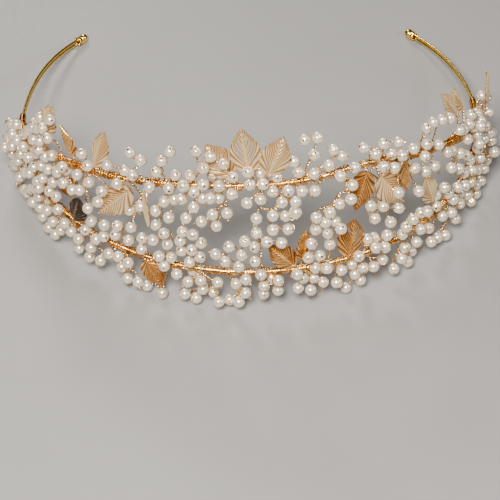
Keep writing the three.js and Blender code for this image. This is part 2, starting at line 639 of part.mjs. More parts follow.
const box = new THREE.Box3().setFromObject(tiara, true);
const middle = box.getCenter(new THREE.Vector3());
tiara.position.set(-middle.x, -middle.y, -box.min.z);

export default tiara;
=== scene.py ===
import json
import math

import bpy
import numpy as np
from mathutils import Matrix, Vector


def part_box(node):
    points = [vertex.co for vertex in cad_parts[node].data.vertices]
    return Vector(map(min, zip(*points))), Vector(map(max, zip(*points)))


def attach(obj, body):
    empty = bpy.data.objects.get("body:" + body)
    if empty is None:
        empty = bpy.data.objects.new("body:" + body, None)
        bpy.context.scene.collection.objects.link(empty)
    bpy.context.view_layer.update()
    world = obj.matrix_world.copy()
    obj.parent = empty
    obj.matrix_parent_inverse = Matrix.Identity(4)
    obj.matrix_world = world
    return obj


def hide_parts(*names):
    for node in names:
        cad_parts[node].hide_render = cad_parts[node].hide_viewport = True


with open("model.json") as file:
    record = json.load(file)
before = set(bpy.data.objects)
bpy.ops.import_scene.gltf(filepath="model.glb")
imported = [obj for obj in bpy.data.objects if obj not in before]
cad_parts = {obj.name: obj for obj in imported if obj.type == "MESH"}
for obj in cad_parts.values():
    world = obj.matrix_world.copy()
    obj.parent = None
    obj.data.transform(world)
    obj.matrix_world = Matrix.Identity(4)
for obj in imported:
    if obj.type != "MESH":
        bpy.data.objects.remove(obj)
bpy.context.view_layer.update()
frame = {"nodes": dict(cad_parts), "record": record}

MM = 0.001
TAU = 2 * math.pi
UP = np.array([0.0, 0.0, 1.0])
SEED = 11
rng = np.random.default_rng(SEED)

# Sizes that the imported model's solids were drawn with.
CAD_PEARL_R = 2.05
CAD_PEARL_EDGE = 1.05146 * CAD_PEARL_R
CAD_PEARL_DEPTH = 0.79465 * CAD_PEARL_R
WRAP_REACH = 1.15
BALL_R = 1.75
BALL_CENTRE_Z = 1.55
BALL_GAP = 0.12
COLLAR_R = 1.62
COLLAR_LENGTH = 1.9
SOCKET_R = 1.32
CROWN_DEPTH = 72.0

RAIL_R = 0.55
RAIL_STEP = 0.5
RAIL_SIDES = 14
WOUND_TO = 86.0

# Loose strands along a rail: their number, reach from its middle line, radius, pitch and pitch step.
RAIL_STRANDS = 4
LOOSE_REACH = 0.8
LOOSE_R = 0.24
LOOSE_PITCH = 26
LOOSE_PITCH_STEP = 5
LOOSE_STEPS = 60

# Windings over the strands: how far short each stops, reach, wire radius, pitch, seed, steps, looseness.
BINDING_LAYERS = [
    (0, 1.06, 0.2, 0.85, 20, 12, 0.16),
    (2, 1.28, 0.18, 2.3, 30, 18, 0.24),
    (1, 1.22, 0.16, 4.1, 40, 26, 0.2),
]

# The wound sleeve where the two rails meet: its ends along a short stretch of their common line.
SLEEVE_ROWS = 8
SLEEVE_START = 2.0
SLEEVE_END = 5.8
SLEEVE_REACH = 0.93
SLEEVE_WIRE_R = 0.24
SLEEVE_PITCH = 0.55
SLEEVE_STEPS = 18
SLEEVE_WIDE = 1.65
SLEEVE_SEED = 300

PEARL_R = 2.0
HOLE_R = 0.32
HOLE_DEPTH = 0.9
HOLE_LIP = 0.06
PEARL_SIDES = 32
PEARL_BANDS = 22

STRAND_R = 0.16
STRAND_SIDES = 6
TWIST_PITCH = 2.2
PATH_STEP = 0.18
JUNCTION_REACH = 3.5
WIRE_CLEARANCE = 0.3
FLOOR_CLEARANCE = 0.35

# The wire that finishes a pearl: a loop past it or a bar down its side, and rings at some junctions.
EYE_GAP = 0.42
EYE_R = 0.55
EYE_WIRE_R = 0.13
EYE_LOWEST = 1.0
EYE_SHARE = 0.35
SIDE_WIRE_GAP = 0.1
SIDE_WIRE_R = 0.12
SIDE_WIRE_LOWEST = 0.2
SIDE_WIRE_SHARE = 0.75
JUNCTION_RING_R = 0.95
JUNCTION_RING_WIRE_R = 0.14
JUNCTION_RING_LOWEST = 1.5
JUNCTION_RING_SHARE = 0.2

LEAF_ROWS = 133
LEAF_COLUMNS = 48
LEAF_THICK = 0.28
LEAF_RIBS = 12
LEAF_SWEEP = 0.75
LEAF_GROOVE = 0.3
LEAF_MIDRIB = 0.2
LEAF_MIDRIB_WIDTH = 0.28
LEAF_TOOTH = 0.08
SLIT_WIDTH = 0.045
LEAF_LOWEST = 0.05
STEM_GAP = 0.25


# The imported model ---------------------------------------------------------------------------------

def unit(vectors):
    vectors = np.asarray(vectors, float)
    return vectors / np.linalg.norm(vectors, axis=-1, keepdims=True)


def dot(a, b):
    return np.sum(np.asarray(a) * b, axis=-1, keepdims=True)


def cad_triangles(node):
    """The corners of a CAD node's triangles, in millimetres."""
    mesh = frame["nodes"][node].data
    places = np.empty(len(mesh.vertices) * 3, np.float32)
    mesh.vertices.foreach_get("co", places)
    mesh.calc_loop_triangles()
    corners = np.empty(len(mesh.loop_triangles) * 3, np.int32)
    mesh.loop_triangles.foreach_get("vertices", corners)
    return places.reshape(-1, 3)[corners].reshape(-1, 3, 3) / MM


def face_normals(triangles):
    """Vectors square to the triangles, twice their areas long."""
    return np.cross(triangles[:, 1] - triangles[:, 0], triangles[:, 2] - triangles[:, 0])


def pearl_centres(node):
    """Each pearl of a spray is a regular solid, so every whole face of it points back at its centre."""
    triangles = cad_triangles(node)
    edges = np.linalg.norm(triangles - np.roll(triangles, 1, axis=1), axis=2)
    triangles = triangles[np.all(abs(edges - CAD_PEARL_EDGE) < 0.01, axis=1)]
    guesses = triangles.mean(1) - CAD_PEARL_DEPTH * unit(face_normals(triangles))
    centres = []
    while len(guesses):
        same = np.linalg.norm(guesses - guesses[0], axis=1) < 0.3
        if same.sum() >= 3:
            centres.append(guesses[same].mean(0))
        guesses = guesses[~same]
    return np.array(centres)


def node_box(node):
    """The two corners of a CAD node's box, in millimetres."""
    low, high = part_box(node)
    return np.array(low) / MM, np.array(high) / MM


rail_low, rail_high = node_box("lower_rail_wire")
CROWN = np.array([(rail_low[0] + rail_high[0]) / 2, rail_low[1] + CROWN_DEPTH, 0.0])


def azimuth(points):
    """Degrees round the head from the front: negative on the left, positive on the right."""
    offset = points - CROWN
    return np.degrees(np.arctan2(offset[..., 0], -offset[..., 1]))


def inward(points):
    """Level directions towards the head."""
    offset = CROWN - points
    offset[..., 2] = 0
    return unit(offset)


def smooth(points, step):
    """A closer row of points on a smooth curve through the given ones."""
    points = np.asarray(points, float)
    ends = np.vstack([2 * points[0] - points[1], points, 2 * points[-1] - points[-2]])
    rows = []
    for a, b, c, d in zip(ends[:-3], ends[1:-2], ends[2:-1], ends[3:]):
        count = max(1, round(np.linalg.norm(c - b) / step))
        t = np.arange(count)[:, None] / count
        cubic = 2 * b + (c - a) * t + (2 * a - 5 * b + 4 * c - d) * t**2
        rows.append((cubic + (3 * b - a - 3 * c + d) * t**3) / 2)
    return np.vstack(rows + [points[-1:]])


def rail_line(node):
    """The middle line of a rail wire, from the left tip to the right tip."""
    corners = np.unique(cad_triangles(node).reshape(-1, 3).round(3), axis=0)
    turns = azimuth(corners)
    order = np.argsort(turns)
    breaks = np.flatnonzero(np.diff(turns[order]) > 1.0) + 1
    rings = np.split(corners[order], breaks)
    return smooth([ring.mean(0) for ring in rings], RAIL_STEP)


RAILS = {"upper": rail_line("upper_rail_wire"), "lower": rail_line("lower_rail_wire")}


def wrap_point(node):
    """Which rail a spray or leaf is wound onto, and the row of that rail's line where it is."""
    corners = cad_triangles(node).reshape(-1, 3)
    best = None
    for rail, line in RAILS.items():
        gaps = np.linalg.norm(corners[:, None, :] - line[None], axis=2)
        close = gaps.min(1) < WRAP_REACH
        if best is None or close.sum() > best[2]:
            row = int(np.median(gaps[close].argmin(1))) if close.any() else 0
            best = (rail, row, close.sum())
    return best[0], best[1]


# Shapes -------------------------------------------------------------------------------------------

class Shape:
    """The vertices and faces of one piece, with one number for each vertex that its material reads as
    painted shade or random tone.
    """

    def __init__(self):
        self.vertices, self.quads, self.caps, self.tones, self.count = [], [], [], [], 0

    def add(self, vertices, quads, caps=(), tone=0.0):
        self.vertices.append(vertices)
        self.quads.append(quads + self.count)
        self.caps += [(np.asarray(cap) + self.count).tolist() for cap in caps]
        self.tones.append(np.broadcast_to(tone, len(vertices)))
        self.count += len(vertices)

    def piece(self, name, material, slot, replaces=(), sharp=60):
        mesh = bpy.data.meshes.new(name)
        faces = np.concatenate(self.quads).tolist() + self.caps
        mesh.from_pydata((np.concatenate(self.vertices) * MM).tolist(), [], faces)
        # Each vertex's painted shade and random tone, read by its material.
        tone = mesh.attributes.new("tone", "FLOAT", "POINT")
        tone.data.foreach_set("value", np.concatenate(self.tones).astype(np.float32))
        mesh.shade_smooth()
        mesh.set_sharp_from_angle(angle=math.radians(sharp))
        mesh.materials.append(material)
        made = bpy.data.objects.new(name, mesh)
        bpy.context.scene.collection.objects.link(made)
        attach(made, "root")
        if replaces:
            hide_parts(*replaces)
        return made


def grid_quads(rows, columns, closed):
    """Faces of a grid of points stored row by row. A closed grid joins its last column to its first."""
    i = np.arange(rows - 1)[:, None]
    j = np.arange(columns if closed else columns - 1)[None]
    k = (j + 1) % columns
    corners = [i * columns + j, i * columns + k, (i + 1) * columns + k, (i + 1) * columns + j]
    return np.stack(np.broadcast_arrays(*corners), axis=-1).reshape(-1, 4)


def carried(points):
    """A direction square to the path at each point, carried along without twisting."""
    along = unit(np.gradient(points, axis=0))
    start = np.cross(along[0], UP if abs(along[0][2]) < 0.9 else [1.0, 0.0, 0.0])
    rows = [unit(start)]
    for t in along[1:]:
        rows.append(unit(rows[-1] - t * (rows[-1] @ t)))
    return np.array(rows)


def tube(shape, points, radius, across, sides=STRAND_SIDES, tone=0.0):
    """A round bar along points with closed ends. across is roughly square to it at each point."""
    along = unit(np.gradient(points, axis=0))
    first = unit(across - along * dot(across, along))
    second = np.cross(along, first)
    turn = np.arange(sides)[:, None] * TAU / sides
    ring = np.cos(turn) * first[:, None] + np.sin(turn) * second[:, None]
    radius = np.broadcast_to(radius, len(points))[:, None, None]
    vertices = (points[:, None] + radius * ring).reshape(-1, 3)
    last = (len(points) - 1) * sides
    caps = [range(sides - 1, -1, -1), range(last, last + sides)]
    shape.add(vertices, grid_quads(len(points), sides, True), caps, tone)


def lathe(shape, profile, origin, axis, sides, tone=0.0, floor=None):
    """A turned solid: profile is [distance from the axis, distance along it], from one end to the other."""
    first = unit(np.cross(axis, UP if abs(axis[2]) < 0.9 else [1.0, 0.0, 0.0]))
    second = np.cross(axis, first)
    turn = np.arange(sides) * TAU / sides
    ring = np.cos(turn)[:, None] * first + np.sin(turn)[:, None] * second
    profile = np.asarray(profile, float)
    vertices = origin + profile[:, 0, None, None] * ring[None] + profile[:, 1, None, None] * axis
    vertices = vertices.reshape(-1, 3)
    if floor is not None:
        vertices[:, 2] = np.maximum(vertices[:, 2], floor)
    last = (len(profile) - 1) * sides
    caps = [range(sides - 1, -1, -1), range(last, last + sides)]
    tone = np.repeat(np.broadcast_to(tone, len(profile)), sides)
    shape.add(vertices, grid_quads(len(profile), sides, True), caps, tone)


def twisted(shape, points, strand_r, tone=0.0):
    """Two strands of wire twisted round each other along a path."""
    across = carried(points)
    side = np.cross(unit(np.gradient(points, axis=0)), across)
    length = np.append(0, np.cumsum(np.linalg.norm(np.diff(points, axis=0), axis=1)))
    phase = length[:, None] * TAU / TWIST_PITCH + rng.uniform(0, TAU)
    for turn in (0, math.pi):
        offset = np.cos(phase + turn) * across + np.sin(phase + turn) * side
        tube(shape, points + strand_r * offset, strand_r, offset, tone=tone)


def ring(shape, centre, axis, radius, wire_r, tone=0.0, share=1.0):
    """A small loop of wire, or a share of one, round an axis."""
    first = unit(np.cross(axis, UP if abs(axis[2]) < 0.9 else [1.0, 0.0, 0.0]))
    second = np.cross(axis, first)
    turn = np.linspace(0, TAU * share, 20)[:, None]
    spoke = np.cos(turn) * first + np.sin(turn) * second
    tube(shape, centre + radius * spoke, wire_r, spoke, tone=tone)


# Materials ----------------------------------------------------------------------------------------

def blend(nodes, links, kind, factor, a, b):
    """A Mix node of two colours, each a colour or another node's output."""
    mix = nodes.new("ShaderNodeMix")
    mix.data_type = "RGBA"
    mix.blend_type = kind
    for socket, value in ((mix.inputs["Factor"], factor), (mix.inputs["A"], a), (mix.inputs["B"], b)):
        if isinstance(value, bpy.types.NodeSocket):
            links.new(value, socket)
        else:
            socket.default_value = value if isinstance(value, float) else (*value, 1.0)
    return mix.outputs["Result"]


def ranged(nodes, links, value, low, high):
    """The middle of a noise's range spread over low to high."""
    node = nodes.new("ShaderNodeMapRange")
    node.inputs["From Min"].default_value = 0.3
    node.inputs["From Max"].default_value = 0.7
    node.inputs["To Min"].default_value = low
    node.inputs["To Max"].default_value = high
    links.new(value, node.inputs["Value"])
    return node.outputs["Result"]


def noise(nodes, links, size, detail=3.0):
    """Noise whose features are about so many millimetres across."""
    place = nodes.new("ShaderNodeTexCoord")
    node = nodes.new("ShaderNodeTexNoise")
    node.inputs["Scale"].default_value = 1 / (size * MM)
    node.inputs["Detail"].default_value = detail
    links.new(place.outputs["Object"], node.inputs["Vector"])
    return node.outputs["Fac"]


def finish_of(name, light, deep, rough, patch, grain, bump, metallic=1.0, shade_and_tone_colour=None, **sockets):
    """A finish that drifts between two colours in patches, with uneven gloss and a fine relief.

    patch and grain are the sizes in millimetres of the drift and of the relief, bump is the relief's
    depth, and the shade-and-tone colour is what a vertex's value of 1 gives: painted shade in drill holes
    and leaf grooves, and on pearls a slight random darkening."""
    material = bpy.data.materials.new(name)
    material.use_nodes = True
    nodes, links = material.node_tree.nodes, material.node_tree.links
    shader = nodes["Principled BSDF"]
    drift = ranged(nodes, links, noise(nodes, links, patch), 0.0, 1.0)
    colour = blend(nodes, links, "MIX", drift, light, deep)
    # Painted shade, and on pearls a slight random tone, mixed in by the per-vertex value.
    if shade_and_tone_colour is not None:
        tone = nodes.new("ShaderNodeAttribute")
        tone.attribute_name = "tone"
        colour = blend(nodes, links, "MIX", tone.outputs["Fac"], colour, shade_and_tone_colour)
    links.new(colour, shader.inputs["Base Color"])
    fine = noise(nodes, links, grain, 4.0)
    links.new(ranged(nodes, links, fine, *rough), shader.inputs["Roughness"])
    relief = nodes.new("ShaderNodeBump")
    relief.inputs["Strength"].default_value = 0.6
    relief.inputs["Distance"].default_value = bump * MM
    links.new(fine, relief.inputs["Height"])
    links.new(relief.outputs["Normal"], shader.inputs["Normal"])
    shader.inputs["Metallic"].default_value = metallic
    for socket, value in sockets.items():
        shader.inputs[socket.replace("_", " ")].default_value = value
    return material


BAND = finish_of("polished_gold", (1.0, 0.76, 0.27), (0.94, 0.65, 0.19), (0.2, 0.34), 9, 0.5, 0.006)
WIRE = finish_of("fine_wire", (0.97, 0.76, 0.44), (0.85, 0.5, 0.2), (0.2, 0.34), 3, 0.25, 0.015)
WINDING = finish_of("copper_winding", (0.97, 0.64, 0.26), (0.5, 0.18, 0.05), (0.2, 0.36), 1.3, 0.25, 0.02)
# The pearls' third colour is painted shade inside their drill holes, and the dark end of a slight random
# tone.
PEARL = finish_of(
    "pearl_ivory", (0.86, 0.77, 0.64), (0.76, 0.64, 0.49), (0.2, 0.32), 2.4, 0.6, 0.012,
    metallic=0.45, shade_and_tone_colour=(0.2, 0.12, 0.07), Coat_Weight=1.0, Coat_Roughness=0.05, IOR=1.7,
)
# Each leaf's third colour is painted shade in the grooves between its side veins.
LEAVES = {
    "leaf_champagne": finish_of(
        "leaf_champagne", (1.0, 0.87, 0.6), (0.97, 0.73, 0.4), (0.26, 0.42), 3.5, 0.35, 0.05,
        metallic=0.75, shade_and_tone_colour=(0.42, 0.18, 0.06)),
    "leaf_copper": finish_of(
        "leaf_copper", (0.95, 0.62, 0.28), (0.72, 0.36, 0.12), (0.22, 0.4), 3.5, 0.35, 0.05,
        metallic=0.85, shade_and_tone_colour=(0.22, 0.08, 0.03)),
    "leaf_dark": finish_of(
        "leaf_dark", (0.42, 0.33, 0.27), (0.2, 0.14, 0.11), (0.2, 0.45), 2.5, 0.35, 0.05,
        shade_and_tone_colour=(0.05, 0.035, 0.03)),
}


# Rails, arms and end balls --------------------------------------------------------------------------

PEARLS = {node: pearl_centres(node) for node in sorted(frame["nodes"]) if "_spray_" in node}
ALL_PEARLS = np.concatenate(list(PEARLS.values()))


def clear_of_pearls(points, margin, own=None):
    """The points moved out of every pearl except their own."""
    moved = points.copy()
    near = np.all((ALL_PEARLS > points.min(0) - 6) & (ALL_PEARLS < points.max(0) + 6), axis=1)
    for centre in ALL_PEARLS[near]:
        if own is not None and np.linalg.norm(centre - own) < 0.1:
            continue
        offset = moved - centre
        gap = np.linalg.norm(offset, axis=1)
        inside = gap < PEARL_R + margin
        moved[inside] = centre + offset[inside] / gap[inside, None] * (PEARL_R + margin)
    return moved


def ripple(length, size, seed):
    """A smooth seeded wave along a length, between about -1 and 1."""
    waves = np.random.default_rng(seed)
    return sum(
        np.sin(length * TAU / (size * stretch) + waves.uniform(0, TAU)) for stretch in (1.0, 1.7, 3.1)
    ) / 2


def line_frame(line, at):
    """Points on a line at the given lengths along it, with the two directions square to it."""
    length = np.append(0, np.cumsum(np.linalg.norm(np.diff(line, axis=0), axis=1)))
    points = np.stack([np.interp(at, length, line[:, k]) for k in range(3)], axis=1)
    along = unit(np.gradient(line, axis=0))
    along = unit(np.stack([np.interp(at, length, along[:, k]) for k in range(3)], axis=1))
    first = unit(UP - along * dot(UP, along))
    return points, first, np.cross(along, first)


def wind(shape, line, start, end, radius, wire_r, pitch, seed, steps=10, loose=0.0, wide=1.0):
    """Wire wound round a line from one length along it to another. wide makes the turns oval."""
    at = np.arange(start, end, pitch / steps)
    points, first, second = line_frame(line, at)
    phase = (TAU * (at / pitch + 0.35 * ripple(at, 5 * pitch, seed)))[:, None]
    spoke = wide * np.cos(phase) * first + np.sin(phase) * second
    reach = radius + loose * ripple(at, 7 * pitch, seed + 1)[:, None]
    coil = clear_of_pearls(points + reach * spoke, wire_r)
    tube(shape, coil, wire_r, spoke)


def wound_span(line):
    """The lengths along a rail between which wire is wound on it."""
    turns = azimuth(line)
    length = np.append(0, np.cumsum(np.linalg.norm(np.diff(line, axis=0), axis=1)))
    span = length[abs(turns) < WOUND_TO]
    return span.min(), span.max()


def add_rail(rail):
    """A rail wire with the loose strands that lie along it and the layers wound over them."""
    line = RAILS[rail]
    wire = Shape()
    tube(wire, line, RAIL_R, np.broadcast_to(UP, line.shape), sides=RAIL_SIDES)
    wire.piece(f"{rail}_rail", BAND, "gold_band", [f"{rail}_rail_wire"])
    start, end = wound_span(line)
    seed = 100 if rail == "upper" else 200
    strands = Shape()
    for k in range(RAIL_STRANDS):
        pitch = LOOSE_PITCH + LOOSE_PITCH_STEP * k
        wind(strands, line, start + k, end - k, LOOSE_REACH, LOOSE_R, pitch, seed + 2 * k, LOOSE_STEPS)
    strands.piece(f"{rail}_rail_strands", WIRE, "copper_winding")
    binding = Shape()
    for short, reach, wire_r, pitch, offset, steps, loose in BINDING_LAYERS:
        wind(binding, line, start + short, end - short, reach, wire_r, pitch, seed + offset, steps, loose)
    binding.piece(f"{rail}_rail_binding", WINDING, "copper_winding")


def end_of_arm(side):
    """Where the two rail wires end together, and the direction they point in."""
    row = 0 if side == "left" else -1
    inner = 4 if side == "left" else -5
    tip = sum(line[row] for line in RAILS.values()) / 2
    before = sum(line[inner] for line in RAILS.values()) / 2
    return tip, unit(tip - before)


def add_end_ball(side):
    """The ball on the wire ends, turned in one with its collar and socket."""
    tip, along = end_of_arm(side)
    centre = tip + along * (BALL_R + BALL_GAP)
    centre[2] = BALL_CENTRE_Z
    axis = -along
    bead = [[0.05, -BALL_R]]
    for latitude in np.linspace(-84, 44, 18):
        turn = math.radians(latitude)
        bead.append([BALL_R * math.cos(turn), BALL_R * math.sin(turn)])
    collar_start = BALL_R * 0.82
    collar_end = BALL_R + COLLAR_LENGTH
    bead += [
        [COLLAR_R - 0.25, collar_start], [COLLAR_R - 0.06, collar_start + 0.06],
        [COLLAR_R, collar_start + 0.2], [COLLAR_R, collar_start + 0.55],
        [COLLAR_R - 0.14, collar_start + 0.7], [COLLAR_R - 0.14, collar_end - 0.55],
        [COLLAR_R, collar_end - 0.42], [COLLAR_R, collar_end - 0.1],
        [COLLAR_R - 0.08, collar_end], [SOCKET_R, collar_end],
        [SOCKET_R, BALL_R + 0.1], [0.05, BALL_R + 0.1],
    ]
    ball = Shape()
    lathe(ball, bead, centre, axis, 40, floor=0.0)
    ball.piece(f"{side}_ball", BAND, "gold_band", [f"{side}_end_ball"], sharp=35)


def add_side_binding(side):
    """The sleeve of wire that holds the two rails together near where they part."""
    low, high = node_box(f"{side}_side_binding")
    centre = (low + high) / 2
    span = np.arange(-SLEEVE_ROWS, SLEEVE_ROWS + 1)
    rows = [np.linalg.norm(line - centre, axis=1).argmin() + span for line in RAILS.values()]
    line = (RAILS["upper"][rows[0]] + RAILS["lower"][rows[1]]) / 2
    coil = Shape()
    wind(
        coil, line, SLEEVE_START, SLEEVE_END, SLEEVE_REACH, SLEEVE_WIRE_R, SLEEVE_PITCH, SLEEVE_SEED,
        steps=SLEEVE_STEPS, wide=SLEEVE_WIDE,
    )
    coil.piece(f"{side}_binding", WINDING, "copper_winding", [f"{side}_side_binding"])


# Sprays -------------------------------------------------------------------------------------------

def pearl_profile():
    """From inside one end of the drill hole, over the round of the pearl, to inside the other end."""
    rim = math.asin((HOLE_R + 0.07) / PEARL_R)
    turns = np.linspace(rim, math.pi - rim, PEARL_BANDS)
    round_ = np.stack([PEARL_R * np.sin(turns), PEARL_R * np.cos(turns)], axis=1)
    lip = PEARL_R * math.cos(rim) - HOLE_LIP
    top = [[HOLE_R, PEARL_R - HOLE_DEPTH], [HOLE_R, lip]]
    return np.vstack([top, round_, [[r, -z] for r, z in reversed(top)]])


PROFILE = pearl_profile()
# Painted shade: the walls inside each drill hole take the full dark colour.
HOLE_SHADE = np.where(PROFILE[:, 0] <= HOLE_R, 1.0, 0.0)


def pearl(shape, centre, axis):
    """One drilled pearl, very slightly out of round."""
    squeeze = rng.uniform(0.985, 1.015, 2)
    # Painted shade inside the drill holes, plus a slight random darkening of the whole pearl.
    tone = np.maximum(HOLE_SHADE, rng.uniform(0.0, 0.07))
    lathe(shape, PROFILE[::-1] * squeeze, centre, axis, PEARL_SIDES, tone[::-1])


def tree(hub, centres):
    """The row of each pearl's parent: 0 for the hub, or 1 more than another pearl's own row."""
    places = np.vstack([hub, centres])
    gaps = np.linalg.norm(places[:, None] - places[None], axis=2)
    path = {0: 0.0}
    parents = {}
    while len(path) < len(places):
        waiting = [k for k in range(len(places)) if k not in path]
        cost, start, end = min((gaps[a, b] + 0.3 * path[a], a, b) for a in path for b in waiting)
        parents[end] = start
        path[end] = path[start] + gaps[start, end]
    return parents, sorted(parents, key=lambda k: path[k])


def relaxed(points, own):
    """A wire's path moved clear of the pearls and the floor, and smoothed. Its first points stay."""
    held = 4
    for _ in range(10):
        moved = clear_of_pearls(points, WIRE_CLEARANCE, own)
        moved[:, 2] = np.maximum(moved[:, 2], FLOOR_CLEARANCE)
        moved[1:-1] = moved[1:-1] / 2 + (moved[:-2] + moved[2:]) / 4
        points = np.vstack([points[:held], moved[held:]])
    return points


def wire_wrap(shape, line, row, turns=4, radius=1.2, wire_r=0.19):
    """A few turns of wire round a rail, where a spray or leaf is bound on."""
    length = np.append(0, np.cumsum(np.linalg.norm(np.diff(line, axis=0), axis=1)))
    pitch = 2.1 * wire_r
    half = turns * pitch / 2
    wind(shape, line, length[row] - half, length[row] + half, radius, wire_r, pitch, 400 + row, steps=14)


def wire_eye(shape, centre, axis):
    """The little loop that ends a pearl's wire."""
    across = unit(np.cross(axis, rng.normal(size=3)))
    place = centre - axis * (PEARL_R + EYE_GAP)
    if place[2] > EYE_LOWEST:
        ring(shape, place, across, EYE_R, EYE_WIRE_R)


def side_wire(shape, centre, axis):
    """The pearl's wire laid down its side from the far hole to the near one."""
    across = unit(np.cross(axis, rng.normal(size=3)))
    turn = np.radians(np.linspace(8, 172, 22))[:, None]
    spoke = -np.cos(turn) * axis + np.sin(turn) * across
    path = centre + (PEARL_R + SIDE_WIRE_GAP) * spoke
    if path[:, 2].min() > SIDE_WIRE_LOWEST:
        tube(shape, path, SIDE_WIRE_R, spoke)


def add_spray(node):
    """A spray's pearls, and the twisted wires that join them to its wrap round the rail."""
    centres = PEARLS[node]
    rail, row = wrap_point(node)
    line = RAILS[rail]
    hub = line[row]
    parents, order = tree(hub, centres)
    load = {k: 1 for k in parents}
    for k in reversed(order):
        if parents[k]:
            load[parents[k]] += load[k]
    pearls, wires = Shape(), Shape()
    wire_wrap(wires, line, row)
    joints, axes = {0: hub}, {}
    for k in order:
        centre = centres[k - 1]
        back = unit(joints[parents[k]] - centre)
        axes[k] = unit(back + 0.35 * inward(centre[None])[0] + rng.normal(scale=0.25, size=3))
        joints[k] = centre + JUNCTION_REACH * axes[k]
        joints[k][2] = max(joints[k][2], 2 * FLOOR_CLEARANCE)
    for k in order:
        centre, axis, parent = centres[k - 1], axes[k], parents[k]
        start, end = joints[k], joints[parent]
        bow = (start + end) / 2 + rng.normal(scale=0.35, size=3)
        path = [centre + axis * (PEARL_R - 0.6), centre + axis * (PEARL_R + 0.5), start, bow, end]
        if parent:
            path.append(end + unit(joints[parents[parent]] - end))
        points = relaxed(smooth(path, PATH_STEP), centre)
        twisted(wires, points, STRAND_R * (1 + 0.1 * min(load[k], 6)))
        pearl(pearls, centre, axis)
        style = rng.uniform()
        if style < EYE_SHARE:
            wire_eye(wires, centre, axis)
        elif style < SIDE_WIRE_SHARE:
            side_wire(wires, centre, axis)
        if rng.uniform() < JUNCTION_RING_SHARE and start[2] > JUNCTION_RING_LOWEST:
            axis = unit(rng.normal(size=3))
            ring(wires, start, axis, JUNCTION_RING_R, JUNCTION_RING_WIRE_R, share=0.85)
    pearls.piece(node.replace("spray", "pearls"), PEARL, "pearl_spray", [node])
    wires.piece(node.replace("spray", "wires"), WIRE, "pearl_spray", [node])


# Leaves -------------------------------------------------------------------------------------------

def blade_frame(node, hub):
    """The tip, the way to the tip, the front face's direction, the length and the width of a leaf.

    The blade is the two large flat faces, and its tip is its corner farthest from the hub."""
    triangles = cad_triangles(node)
    normals = face_normals(triangles)
    areas = np.linalg.norm(normals, axis=1)
    face = normals[areas.argmax()] / areas.max()
    flat = abs(normals @ face) > 0.999 * areas
    blade, weights = triangles[flat], areas[flat, None]
    centroid = (blade.mean(1) * weights).sum(0) / weights.sum()
    corners = blade.reshape(-1, 3)
    corners = corners[abs((corners - centroid) @ face) < 0.3]
    tip = corners[np.linalg.norm(corners - hub, axis=1).argmax()]
    tip = tip - face * ((tip - centroid) @ face)
    along = unit(tip - centroid)
    across = np.cross(along, face)
    reach = (corners - tip) @ along
    length = -reach.min()
    width = 2 * abs((corners - tip) @ across).max()
    front = -inward(tip[None])[0] + 0.6 * UP
    return tip, along, face if face @ front > 0 else -face, length, width


def half_width(s):
    """A leaf's half width along its length, as a share of about its greatest."""
    s = np.clip(s, 1e-4, 1.0)
    return np.sin(math.pi * s**0.82) ** (0.62 + 0.55 * s)


def blade_points(length, width, fold, curl, twist):
    """A stamped blade's front surface as a grid, lying along +Y with its face to +Z, and painted shade for
    its grooves.

    Its rows follow the side veins, which leave the midrib at a sharp angle and sweep towards the tip."""
    row = np.linspace(0, 1, LEAF_ROWS)[:, None]
    u = 0.004 + 0.986 * row**1.35
    v = np.linspace(-1, 1, LEAF_COLUMNS + 1)[None]
    s = u + LEAF_SWEEP * abs(v) * (1 - u) * (1 - np.exp(-u / 0.1))
    saw = (2 * LEAF_RIBS * row) % 1.0
    teeth = 1 + LEAF_TOOTH * (saw - 0.6) * abs(v) ** 10
    x = v * (half_width(s) * width / 2) * teeth
    bend = curl * (s - 0.5)
    radius = length / curl
    y = radius * (np.sin(bend) + math.sin(curl / 2))
    z = radius * (np.cos(bend) - math.cos(curl / 2))
    groove = 0.5 + 0.5 * np.cos(TAU * LEAF_RIBS * row)
    taper = np.clip(8 * abs(v), 0, 1) * np.clip(8 * half_width(s), 0, 1)
    z = z - fold * abs(x) + 0.12 * np.sin(TAU * 1.5 * s + 2 * v) * abs(v)
    z = z - LEAF_GROOVE * groove**1.5 * taper
    z = z + LEAF_MIDRIB * np.exp(-((x / LEAF_MIDRIB_WIDTH) ** 2))
    z = z + twist * v * (s - 0.3)
    # Painted shade, darkest at the bottoms of the grooves between the side veins.
    crease_shade = np.clip(groove**3 * taper, 0, 1)
    return np.stack(np.broadcast_arrays(x, y, z), axis=-1), np.broadcast_to(crease_shade, x.shape)


def slit_mask(slits):
    """Which cells of the grid are cut out, as long slits between the side veins."""
    row = (np.arange(LEAF_ROWS - 1) + 0.5) / (LEAF_ROWS - 1)
    v = np.linspace(-1, 1, LEAF_COLUMNS + 1)
    v = (v[1:] + v[:-1]) / 2
    cut = np.zeros((len(row), len(v)), bool)
    for rib, side, start, end in slits:
        across = side * v
        middle = rib / LEAF_RIBS
        along = np.clip((across - start) / (end - start), 0, 1)
        width = SLIT_WIDTH * np.sin(math.pi * along) ** 0.5
        cut |= (abs(row[:, None] - middle) < width[None]) & ((across > start) & (across < end))[None]
    return cut


def sheet_faces(cut):
    """Faces of a sheet's front and back and of the walls round every edge and slit."""
    rows, columns = cut.shape[0] + 1, cut.shape[1] + 1
    keep = ~cut
    cells = grid_quads(rows, columns, False).reshape(cut.shape + (4,))
    back = rows * columns
    faces = [cells[keep], cells[keep][:, ::-1] + back]
    padded = np.pad(keep, 1)
    steps = {0: (-1, 0), 1: (0, 1), 2: (1, 0), 3: (0, -1)}
    for edge, (di, dj) in steps.items():
        beyond = padded[1 + di:padded.shape[0] - 1 + di, 1 + dj:padded.shape[1] - 1 + dj]
        open_ = keep & ~beyond
        a, b = cells[open_][:, edge], cells[open_][:, (edge + 1) % 4]
        faces.append(np.stack([b, a, a + back, b + back], axis=1))
    return np.concatenate(faces)


